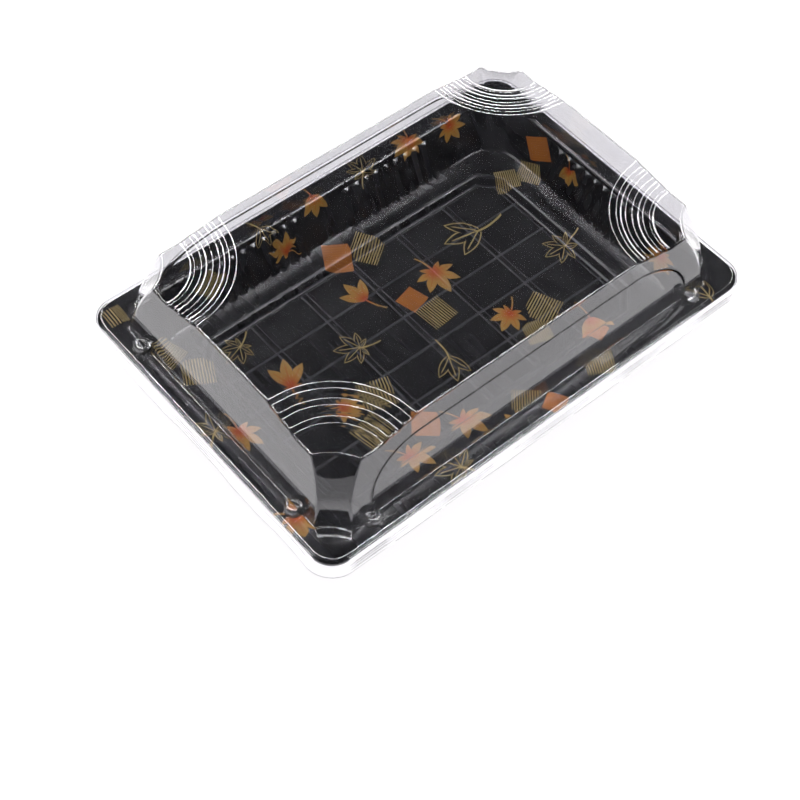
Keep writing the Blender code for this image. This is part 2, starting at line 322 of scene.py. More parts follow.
def arch_line(shrink):
    """The arched panel's outline on the long wall, from +X to -X: x and height over the flange."""
    half, rise = ARCH_HALF - shrink, ARCH_RISE - shrink
    centre = (half - ARCH_SHOULDER[0], rise - ARCH_SHOULDER[1])
    angles = [0.5 * math.pi * i / 14 for i in range(15)]
    right = [(half, 0.35 * centre[1]), (half, 0.75 * centre[1])]
    right += [(centre[0] + ARCH_SHOULDER[0] * math.cos(a), centre[1] + ARCH_SHOULDER[1] * math.sin(a)) for a in angles]
    return right + [(-x, z) for x, z in reversed(right)]


def nearest(verts, place):
    return min(verts, key=lambda vert: (vert.co - place).length)


def on_long_wall(vert, side):
    return abs(side * vert.co.y - dome_half(vert.co.z)[1]) < 0.002 * MM


def on_short_wall(vert, side):
    return abs(side * vert.co.x - dome_half(vert.co.z)[0]) < 0.002 * MM


def fill(bm, inside):
    edges = [edge for edge in bm.edges if len(edge.link_faces) < 2 and all(inside(vert) for vert in edge.verts)]
    made = bmesh.ops.contextual_create(bm, geom=edges)
    return made["faces"][0]


def arch_places(side, shrink):
    line = [(ARCH_HALF - shrink, 0.0)] + arch_line(shrink) + [(shrink - ARCH_HALF, 0.0)]
    return [Vector((x, side * dome_half(FLANGE_Z + z)[1], FLANGE_Z + z)) for x, z in line]


def split_arch(bm, face, side, shrink):
    """Cuts an arch out of the long wall's face and gives the face inside it."""
    places = arch_places(side, shrink)
    ends = [nearest(face.verts, place) for place in (places[0], places[-1])]
    other, loop = bmesh.utils.face_split(face, ends[0], ends[1], coords=places[1:-1])
    return max((face, other), key=lambda item: item.calc_area())


def sink_arch(bm, side):
    """Sets the arched panel of one long wall back, with a sloping band round it."""
    wall = fill(bm, lambda vert: on_long_wall(vert, side))
    band = split_arch(bm, wall, side, 0.0)
    panel = split_arch(bm, band, side, ARCH_BAND)
    inner = panel.verts[:]
    for places in zip(arch_places(side, 0.0)[1:-1], arch_places(side, ARCH_BAND)[1:-1]):
        bmesh.ops.connect_verts(bm, verts=[nearest(bm.verts, place) for place in places])
    bmesh.ops.translate(bm, verts=inner, vec=(0.0, -side * ARCH_DEPTH, 0.0))


def raise_arch(bm):
    """Raises the rounded outer edge of each arch into a fine bead."""
    for side in (1, -1):
        line = arch_places(side, 0.0)
        out = Vector((0.0, side * ARCH_BEAD, 0.0))
        for vert in bm.verts:
            if side * vert.co.y < DOME_TOP[1] - 1.0 * MM:
                continue
            gap = min(to_line(vert.co, a, b) for a, b in zip(line[:-1], line[1:]))
            if gap < 0.29 * MM:
                above = smooth(FLANGE_Z + 0.6 * MM, FLANGE_Z + 2.0 * MM, vert.co.z)
                vert.co += out * above * (1.0 - (gap / (0.29 * MM)) ** 2)


def to_line(place, a, b):
    """Distance from a place to the line between a and b."""
    along = b - a
    share = min(max((place - a).dot(along) / along.length_squared, 0.0), 1.0)
    return (place - a - along * share).length


def flange_point(p, half, radius):
    """Where the foot's point p goes on an outline further out."""
    sx, sy = math.copysign(1.0, p.x), math.copysign(1.0, p.y)
    pivot = Vector((62.0 * MM, 37.0 * MM))
    to = Vector((abs(p.x), abs(p.y))) - pivot
    low = math.atan2(6.4, 13.2)
    angle = math.atan2(to.y, to.x)
    if to.x > 0 and to.y > 0 and low < angle < 0.5 * math.pi - low:
        ray = Vector((math.cos(angle), math.sin(angle)))
    else:
        ray = None
    if ray is None:
        if to.y > to.x:
            return Vector((p.x * 70.73 / 68.2, sy * half[1]))
        return Vector((sx * half[0], p.y * 45.4 / 43.4))
    core = Vector((half[0] - radius, half[1] - radius))
    reach = min((half[0] - pivot.x) / ray.x, (half[1] - pivot.y) / ray.y)
    hit = pivot + ray * reach
    if hit.x > core.x and hit.y > core.y:
        gap = pivot - core
        b = gap.dot(ray)
        reach = -b + math.sqrt(max(b * b - gap.dot(gap) + radius * radius, 0.0))
        hit = pivot + ray * reach
    return Vector((sx * hit.x, sy * hit.y))


SKIRT_BEADS = (2.9 * MM, 3.9 * MM, 4.9 * MM)


def skirt_relief(x, y, drop):
    """How far the skirt stands out of its plain shape: tabs on the short sides, fine beads in between."""
    ax, ay = abs(x), abs(y)
    out = 0.0
    if ay > 54.0 * MM:
        lined = max(1.0 - smooth(9.2 * MM, 10.2 * MM, ax), smooth(22.8 * MM, 23.6 * MM, ax) *
                    (1.0 - smooth(42.8 * MM, 43.6 * MM, ax)), smooth(56.1 * MM, 56.9 * MM, ax) *
                    (1.0 - smooth(73.5 * MM, 74.5 * MM, ax)))
    else:
        lined = 1.0 - smooth(8.8 * MM, 9.6 * MM, ay)
        tab = smooth(9.2 * MM, 10.6 * MM, ay) * (1.0 - smooth(29.8 * MM, 31.2 * MM, ay))
        plain = (1.0 - tab) * (1.0 - smooth(42.0 * MM, 50.0 * MM, ay))
        out -= 0.35 * MM * plain * smooth(1.6 * MM, 2.6 * MM, drop)
    bead = max(math.exp(-((drop - place) / (0.22 * MM)) ** 2) for place in SKIRT_BEADS)
    return out + 0.2 * MM * lined * (bead - 0.4) * smooth(2.0 * MM, 2.5 * MM, drop)


def skirt_rows():
    """Outlines beyond the flange's crease: distance outside it, drop, and share of the way from the foot."""
    line = [(0.0, 0.0), (1.35, 0.05), (1.9, 1.7), (2.6, 6.2)]
    rounding = rounded_line([(-0.7, 0.0)] + line[:1] + [(1.0, 0.35)], 0.25, 2)[1:-1]
    over = rounded_line([(0.45, 0.16), (1.45, 0.5), (1.9, 1.9)], 0.7, 4)[1:-1]
    rows = [(out * MM, drop * MM) for out, drop in rounding + over]
    drops = [1.9, 2.3, 2.55, 2.75, 2.9, 3.05, 3.25, 3.55, 3.75, 3.9, 4.05, 4.25, 4.55, 4.75, 4.9, 5.05, 5.3, 5.7, 6.15]
    rows += [(lerp(1.9, 2.6, (drop - 1.9) / 4.3) * MM, drop * MM) for drop in drops]
    return rows


def soften(bm, low, high, width, segments):
    """Rounds the edges that turn by an angle between low and high degrees."""
    turned = [edge for edge in bm.edges
              if len(edge.link_faces) == 2 and low < math.degrees(edge.calc_face_angle()) <= high]
    bmesh.ops.bevel(bm, geom=turned, offset=width, offset_type="OFFSET", segments=segments, profile=0.5,
                    affect="EDGES", clamp_overlap=False, material=-1)


def make_lid(material):
    rows = corner_rows()
    us = [0.0, 0.12] + [0.12 + 0.76 * i / 18 for i in range(1, 18)] + [0.88, 1.0]
    bm = bmesh.new()
    bmesh.ops.create_grid(bm, x_segments=len(us) - 1, y_segments=len(rows) - 1, size=0.5)
    for vert in bm.verts:
        i = round((vert.co.x + 0.5) * (len(us) - 1))
        j = round((vert.co.y + 0.5) * (len(rows) - 1))
        vert.co = corner_point(rows[j], us[i])
    for axis in ("X", "Y"):
        geom = bm.verts[:] + bm.edges[:] + bm.faces[:]
        bmesh.ops.mirror(bm, geom=geom, axis=axis, merge_dist=0.0)
    bm.verts.ensure_lookup_table()
    ends = bm.verts[:]

    top_y = corner_point(rows[0], 0.0)
    top_x = corner_point(rows[0], 1.0)
    foot_y = corner_point(rows[-1], 0.0)
    foot_x = corner_point(rows[-1], 1.0)
    flip = Matrix.Diagonal((-1.0, 1.0, 1.0)), Matrix.Diagonal((1.0, -1.0, 1.0))
    for side in (1, -1):
        over = Matrix.Diagonal((1.0, side, 1.0))
        a = over @ top_x
        chain(bm, nearest(ends, a), nearest(ends, flip[0] @ a), [])
        a = over @ foot_x
        arch_feet = [s * (ARCH_HALF - shrink) for s in (1, -1) for shrink in (0.0, ARCH_BAND)]
        marks = foot_marks(foot_x.x - 1.5 * MM, arch_feet)
        points = [(mark, side * DOME_FOOT[1], FLANGE_Z) for mark in reversed(marks)]
        chain(bm, nearest(ends, a), nearest(ends, flip[0] @ a), points)
        over = Matrix.Diagonal((side, 1.0, 1.0))
        a = over @ top_y
        chain(bm, nearest(ends, a), nearest(ends, flip[1] @ a), [])
        a = over @ foot_y
        marks = foot_marks(foot_y.y - 1.5 * MM, [])
        points = [(side * DOME_FOOT[0], mark, FLANGE_Z) for mark in reversed(marks)]
        chain(bm, nearest(ends, a), nearest(ends, flip[1] @ a), points)

    fill(bm, lambda vert: abs(vert.co.z - DOME_Z) < 0.002 * MM)
    for side in (1, -1):
        fill(bm, lambda vert: on_short_wall(vert, side))
        sink_arch(bm, side)
    bmesh.ops.recalc_face_normals(bm, faces=bm.faces[:])

    soften(bm, 14, 45, 0.3 * MM, 3)
    soften(bm, 45, 180, 0.6 * MM, 4)
    raise_arch(bm)
    edges = [edge for edge in bm.edges if edge.is_boundary]
    foot = {vert: vert.co.copy() for edge in edges for vert in edge.verts}
    outlines = [(None, 0.08), (None, 0.35), (None, 0.7)] + skirt_rows()
    ring = edges
    feet = dict(foot)
    for index, (out, drop) in enumerate(outlines):
        made = bmesh.ops.extrude_edge_only(bm, edges=ring)["geom"]
        fresh = {item for item in made if isinstance(item, bmesh.types.BMVert)}
        for vert in fresh:
            near = next(edge.other_vert(vert) for edge in vert.link_edges if edge.other_vert(vert) not in fresh)
            feet[vert] = feet[near]
            start = feet[vert]
            if out is None:
                goal = flange_point(start, FLANGE_HALF, FLANGE_RADIUS)
                vert.co = Vector((lerp(start.x, goal.x, drop), lerp(start.y, goal.y, drop), FLANGE_Z))
                continue
            half = (FLANGE_HALF[0] + out, FLANGE_HALF[1] + out)
            plain = flange_point(start, half, FLANGE_RADIUS + out)
            relief = skirt_relief(plain.x, plain.y, drop)
            half = (half[0] + relief, half[1] + relief)
            place = flange_point(start, half, FLANGE_RADIUS + out + relief)
            vert.co = Vector((place.x, place.y, FLANGE_Z - drop))
        ring = [item for item in made if isinstance(item, bmesh.types.BMEdge) and item.is_boundary]
    bmesh.ops.recalc_face_normals(bm, faces=bm.faces[:])
    inner = [edge for edge in edges if edge.is_valid and edge.calc_face_angle(0.0) > math.radians(20)]
    bmesh.ops.bevel(bm, geom=inner, offset=0.16 * MM, offset_type="OFFSET", segments=2, profile=0.5,
                    affect="EDGES", clamp_overlap=False, material=-1)
    for face in bm.faces:
        face.smooth = len(face.verts) < 12
    face_up(bm)
    lid = new_piece("clear_lid", bm, material, "lid")
    thicken(lid, LID_SHEET)
    return lid


STUD_PROFILE = ((2.95, 0.03), (2.8, 0.9), (2.65, 1.8), (2.5, 2.2), (2.2, 2.5), (1.8, 2.62), (1.2, 2.68), (0.0, 2.7))
STUD_ON_LONG = (61.4 * MM, 50.9 * MM)
STUD_ON_SHORT = (76.1 * MM, 35.0 * MM)


def spun(bm, profile, place, steps):
    """Turns a profile of radii and heights into a closed round piece."""
    line = [(0.0, profile[0][1])] + list(profile)
    verts = [bm.verts.new(Vector(place) + Vector((r * MM, 0.0, z * MM))) for r, z in line]
    edges = [bm.edges.new(two) for two in zip(verts, verts[1:])]
    bmesh.ops.spin(bm, geom=verts + edges, cent=place, axis=(0, 0, 1), angle=2 * math.pi, steps=steps,
                   use_merge=True)


def make_round_pieces(name, material, profile, places, steps):
    bm = bmesh.new()
    for place in places:
        spun(bm, profile, place, steps)
    bmesh.ops.remove_doubles(bm, verts=bm.verts[:], dist=0.005 * MM)
    bmesh.ops.recalc_face_normals(bm, faces=bm.faces[:])
    for face in bm.faces:
        face.smooth = True
    return new_piece(name, bm, material)


def make_studs(material):
    """Eight round knobs on the flange, against the foot of the dome."""
    places = [(sx * x, sy * y, FLANGE_Z) for x, y in (STUD_ON_LONG, STUD_ON_SHORT) for sx in (1, -1) for sy in (1, -1)]
    make_round_pieces("lid_studs", material, STUD_PROFILE, places, 32)


BUMP_PROFILE = ((0.85, -0.05), (0.74, 0.14), (0.52, 0.26), (0.26, 0.33), (0.0, 0.35))


def make_bumps(material):
    """Small round bumps in the tray's floor, one beside each crossing of the ribs."""
    places = [(x + 1.25 * MM, y + 1.0 * MM, FLOOR_Z) for x in WIDE_RIBS for y in THIN_RIBS]
    make_round_pieces("floor_bumps", material, BUMP_PROFILE, places, 16)


# ---------------------------------------------------------------- materials

def simple_material(name, colour, roughness):
    material = bpy.data.materials.new(name)
    material.use_nodes = True
    shader = material.node_tree.nodes["Principled BSDF"]
    shader.inputs["Base Color"].default_value = (*colour, 1.0)
    shader.inputs["Roughness"].default_value = roughness
    return material


def new_group(name, inputs, outputs):
    """A node group with named sockets, and its input and output nodes."""
    group = bpy.data.node_groups.new(name, "ShaderNodeTree")
    for label, kind in inputs:
        group.interface.new_socket(label, in_out="INPUT", socket_type=kind)
    for label, kind in outputs:
        group.interface.new_socket(label, in_out="OUTPUT", socket_type=kind)
    return group, group.nodes.new("NodeGroupInput"), group.nodes.new("NodeGroupOutput")


def feed(links, socket, value):
    if isinstance(value, bpy.types.NodeSocket):
        links.new(value, socket)
    else:
        socket.default_value = value


def calc(tree, operation, *values):
    """One Math node."""
    node = tree.nodes.new("ShaderNodeMath")
    node.operation = operation
    for socket, value in zip(node.inputs, values):
        feed(tree.links, socket, value)
    return node.outputs[0]


def vec(tree, operation, *values):
    """One Vector Math node."""
    node = tree.nodes.new("ShaderNodeVectorMath")
    node.operation = operation
    for socket, value in zip(node.inputs, values):
        feed(tree.links, socket, value)
    return node.outputs["Value"] if operation in ("LENGTH", "DISTANCE", "DOT_PRODUCT") else node.outputs["Vector"]


def mix(tree, share, first, second, kind="RGBA"):
    node = tree.nodes.new("ShaderNodeMix")
    node.data_type = kind
    index = {"FLOAT": 2, "VECTOR": 4, "RGBA": 6}[kind]
    feed(tree.links, node.inputs[0], share)
    feed(tree.links, node.inputs[index], first)
    feed(tree.links, node.inputs[index + 1], second)
    return node.outputs[{"FLOAT": 0, "VECTOR": 1, "RGBA": 2}[kind]]


def step(tree, low, high, value):
    """Rises smoothly from 0 to 1 between low and high."""
    node = tree.nodes.new("ShaderNodeMapRange")
    node.interpolation_type = "SMOOTHSTEP"
    feed(tree.links, node.inputs["Value"], value)
    feed(tree.links, node.inputs["From Min"], low)
    feed(tree.links, node.inputs["From Max"], high)
    return node.outputs["Result"]


def ornament_group():
    """Keeps whichever ornament is nearer: its own plan coordinates in X and Y, its kind in Z."""
    group, source, sink = new_group(
        "nearer_ornament",
        (("Place", "NodeSocketVector"), ("Centre", "NodeSocketVector"), ("Turn", "NodeSocketFloat"),
         ("Size", "NodeSocketFloat"), ("Kind", "NodeSocketVector"), ("Held", "NodeSocketVector"),
         ("Held Distance", "NodeSocketFloat")),
        (("Held", "NodeSocketVector"), ("Held Distance", "NodeSocketFloat")))
    get = source.outputs
    away = vec(group, "SUBTRACT", get["Place"], get["Centre"])
    turn = group.nodes.new("ShaderNodeVectorRotate")
    turn.rotation_type = "Z_AXIS"
    group.links.new(away, turn.inputs["Vector"])
    group.links.new(get["Turn"], turn.inputs["Angle"])
    scale = group.nodes.new("ShaderNodeVectorMath")
    scale.operation = "SCALE"
    group.links.new(turn.outputs["Vector"], scale.inputs[0])
    group.links.new(calc(group, "DIVIDE", 1.0, get["Size"]), scale.inputs["Scale"])
    own = scale.outputs["Vector"]
    distance = vec(group, "LENGTH", own)
    nearer = calc(group, "LESS_THAN", distance, get["Held Distance"])
    marked = vec(group, "ADD", own, get["Kind"])
    group.links.new(mix(group, nearer, get["Held"], marked, "VECTOR"), sink.inputs["Held"])
    group.links.new(calc(group, "MINIMUM", distance, get["Held Distance"]), sink.inputs["Held Distance"])
    return group


def leaf_group():
    """A pointed leaf of several lobes round its stem: how deep inside it a point is, and where its veins are."""
    group, source, sink = new_group(
        "lobed_leaf", (("Local", "NodeSocketVector"), ("Lobes", "NodeSocketFloat"), ("Spread", "NodeSocketFloat")),
        (("Depth", "NodeSocketFloat"), ("Vein", "NodeSocketFloat"), ("Stem", "NodeSocketFloat"),
         ("Out", "NodeSocketFloat")))
    get = source.outputs
    split = group.nodes.new("ShaderNodeSeparateXYZ")
    group.links.new(get["Local"], split.inputs[0])
    x, y = split.outputs[0], split.outputs[1]
    radius = calc(group, "SQRT", calc(group, "ADD", calc(group, "MULTIPLY", x, x), calc(group, "MULTIPLY", y, y)))
    bearing = calc(group, "ARCTAN2", x, y)
    count = calc(group, "ROUND", calc(group, "DIVIDE", bearing, get["Spread"]))
    count = calc(group, "MAXIMUM", calc(group, "MINIMUM", count, get["Lobes"]),
                 calc(group, "MULTIPLY", get["Lobes"], -1.0))
    off = calc(group, "SUBTRACT", bearing, calc(group, "MULTIPLY", count, get["Spread"]))
    shorter = calc(group, "MULTIPLY", calc(group, "POWER", calc(group, "ABSOLUTE", count), 1.5), 0.1)
    length = calc(group, "SUBTRACT", 1.0, shorter)
    reach = calc(group, "DIVIDE", radius, length)
    along = calc(group, "MULTIPLY", reach, calc(group, "COSINE", off))
    across = calc(group, "MULTIPLY", reach, calc(group, "ABSOLUTE", calc(group, "SINE", off)))
    swell = calc(group, "MULTIPLY_ADD", along, 1.6, 0.28)
    taper = calc(group, "MULTIPLY", calc(group, "SUBTRACT", 1.0, along), 0.36)
    teeth = calc(group, "MULTIPLY", calc(group, "PINGPONG", along, 0.09), 0.2)
    width = calc(group, "ADD", calc(group, "MULTIPLY", swell, taper), calc(group, "MULTIPLY", teeth, taper))
    depth = calc(group, "MULTIPLY", calc(group, "SUBTRACT", width, across), length)
    behind = calc(group, "GREATER_THAN", 0.0, calc(group, "COSINE", off))
    depth = calc(group, "SUBTRACT", depth, behind)
    vein = calc(group, "MULTIPLY", step(group, 0.022, 0.01, across), step(group, 0.8, 0.7, along))
    bend = calc(group, "MULTIPLY", calc(group, "MULTIPLY", y, y), 0.35)
    line = calc(group, "ABSOLUTE", calc(group, "SUBTRACT", x, bend))
    stem = calc(group, "MULTIPLY", step(group, 0.034, 0.022, line), calc(group, "LESS_THAN", y, 0.0))
    stem = calc(group, "MULTIPLY", stem, calc(group, "GREATER_THAN", y, -0.8))
    for label, value in (("Depth", depth), ("Vein", vein), ("Stem", stem), ("Out", radius)):
        group.links.new(value, sink.inputs[label])
    return group


FILLED, DRAWN, FILLED_SPRIG, DRAWN_SPRIG, SQUARE, HATCH = 1.0, 2.0, 3.0, 4.0, 5.0, 6.0

# The print: kind, middle in plan, the way it points in degrees from +X, size.
ORNAMENTS = (
    (FILLED, (18.4, 14.6), 264, 9.6), (SQUARE, (5.9, 10.4), 14, 5.2), (HATCH, (8.5, 1.8), 95, 6.6),
    (DRAWN_SPRIG, (40.6, 18.6), 168, 12.6), (DRAWN, (58.0, -3.4), 176, 8.2), (FILLED, (26.0, -12.6), 208, 7.9),
    (HATCH, (35.2, -17.4), 25, 7.0), (HATCH, (27.8, -23.0), 70, 5.6), (DRAWN_SPRIG, (0.0, -13.6), 246, 9.2),
    (DRAWN, (-18.6, 6.1), 150, 8.4), (FILLED_SPRIG, (-5.4, 19.6), 100, 9.0), (FILLED_SPRIG, (-43.4, 8.4), 66, 9.8),
    (SQUARE, (-2.6, 36.6), 60, 6.4), (HATCH, (7.2, 34.2), 35, 6.6), (FILLED_SPRIG, (-1.4, 51.2), 262, 8.2),
    (FILLED, (-16.2, 44.8), 120, 7.6), (FILLED, (37.6, 50.8), 240, 8.4), (FILLED, (53.4, 48.6), 290, 7.8),
    (DRAWN, (17.8, 49.4), 60, 7.6), (SQUARE, (72.4, 26.0), 38, 6.4), (HATCH, (61.2, 27.6), 62, 5.2),
    (HATCH, (68.4, 24.6), 30, 5.6), (FILLED_SPRIG, (72.8, 12.2), 200, 7.4), (HATCH, (-74.2, 48.6), 88, 7.4),
    (FILLED, (-36.6, -8.0), 320, 7.8), (HATCH, (-25.6, -10.4), 70, 7.2), (HATCH, (-35.4, -19.6), 100, 6.4),
    (FILLED, (-66.4, 3.0), 250, 9.4), (DRAWN, (-77.0, -1.0), 30, 8.6), (HATCH, (-62.6, 27.8), 62, 6.8),
    (HATCH, (-66.0, 38.0), 20, 5.8), (FILLED, (-32.4, -33.0), 290, 8.8), (FILLED, (-12.0, -33.4), 280, 9.4),
    (SQUARE, (-21.2, -27.4), 50, 6.0), (FILLED_SPRIG, (-1.6, -44.6), 60, 8.2), (HATCH, (5.6, -41.4), 48, 6.0),
    (FILLED, (-77.0, -36.8), 300, 9.4), (DRAWN, (-31.4, -53.0), 120, 9.0), (FILLED_SPRIG, (44.0, -29.4), 250, 9.0),
    (SQUARE, (41.0, -34.6), 20, 4.8), (DRAWN_SPRIG, (66.8, -54.2), 80, 9.2), (SQUARE, (4.0, -53.6), 30, 4.4),
    (DRAWN_SPRIG, (-22.0, 50.6), 280, 8.0), (HATCH, (-44.0, 46.4), 40, 6.0), (DRAWN, (-46.6, 29.0), 200, 7.4),
    (FILLED, (72.0, -30.0), 190, 8.0), (HATCH, (24.0, -51.0), 60, 6.0),
)


WALL_STRETCH = 11.5 * MM


def unfolded(along, foot, shoulder):
    """How far out a place in plan lies when the tray's wall is laid flat."""
    share = min(max((abs(along) - foot) / (shoulder - foot), 0.0), 1.0)
    return along + math.copysign(WALL_STRETCH * share, along)


def unfold_group():
    """Lays the tray's walls flat, so that the print isn't stretched over them."""
    group, source, sink = new_group("unfolded_wall", (("Place", "NodeSocketVector"),), (("Flat", "NodeSocketVector"),))
    split = group.nodes.new("ShaderNodeSeparateXYZ")
    join = group.nodes.new("ShaderNodeCombineXYZ")
    group.links.new(source.outputs["Place"], split.inputs[0])
    for axis in (0, 1):
        value, foot, shoulder = split.outputs[axis], SHELF_HALF[axis], SHOULDER_HALF[axis]
        share = calc(group, "DIVIDE", calc(group, "SUBTRACT", calc(group, "ABSOLUTE", value), foot), shoulder - foot)
        share = calc(group, "MINIMUM", calc(group, "MAXIMUM", share, 0.0), 1.0)
        out = calc(group, "MULTIPLY", calc(group, "MULTIPLY", share, WALL_STRETCH), calc(group, "SIGN", value))
        group.links.new(calc(group, "ADD", value, out), join.inputs[axis])
    group.links.new(join.outputs[0], sink.inputs["Flat"])
    return group


def painted_rib_highlights(tree, place):
    """Painted highlight lines, lighter than the black sheet, along the edges of the tray floor's ribs and round the
    floor's stepped outline.
    """
    split = tree.nodes.new("ShaderNodeSeparateXYZ")
    tree.links.new(place, split.inputs[0])
    along_x = calc(tree, "PINGPONG", calc(tree, "ADD", split.outputs[0], 1000 * WIDE_RIBS[3]), 0.5 * WIDE_RIBS[3])
    along_y = calc(tree, "PINGPONG", calc(tree, "ADD", split.outputs[1], 999 * THIN_RIBS[2]), THIN_RIBS[2])
    wide = step(tree, 0.34 * MM, 0.12 * MM, calc(tree, "ABSOLUTE", calc(tree, "SUBTRACT", along_x, 0.95 * MM)))
    thin = step(tree, 0.5 * MM, 0.25 * MM, along_y)
    both = calc(tree, "MAXIMUM", wide, thin)
    size = [calc(tree, "ABSOLUTE", split.outputs[axis]) for axis in (0, 1)]
    out = [calc(tree, "SUBTRACT", size[axis], FLOOR_HALF[axis] + 0.4 * MM) for axis in (0, 1)]
    cut = calc(tree, "MULTIPLY", calc(tree, "ADD", calc(tree, "ADD", out[0], out[1]), FLOOR_CUT), math.sqrt(0.5))
    frame_out = calc(tree, "MAXIMUM", calc(tree, "MAXIMUM", out[0], out[1]), cut)
    both = calc(tree, "MULTIPLY", both, step(tree, -0.3 * MM, -1.1 * MM, frame_out))
    # Painted highlight lines round the floor's stepped outline.
    for place_of_line in (0.1 * MM, 2.1 * MM):
        line = calc(tree, "ABSOLUTE", calc(tree, "SUBTRACT", frame_out, place_of_line))
        both = calc(tree, "MAXIMUM", both, calc(tree, "MULTIPLY", step(tree, 0.4 * MM, 0.12 * MM, line), 0.8))
    return both


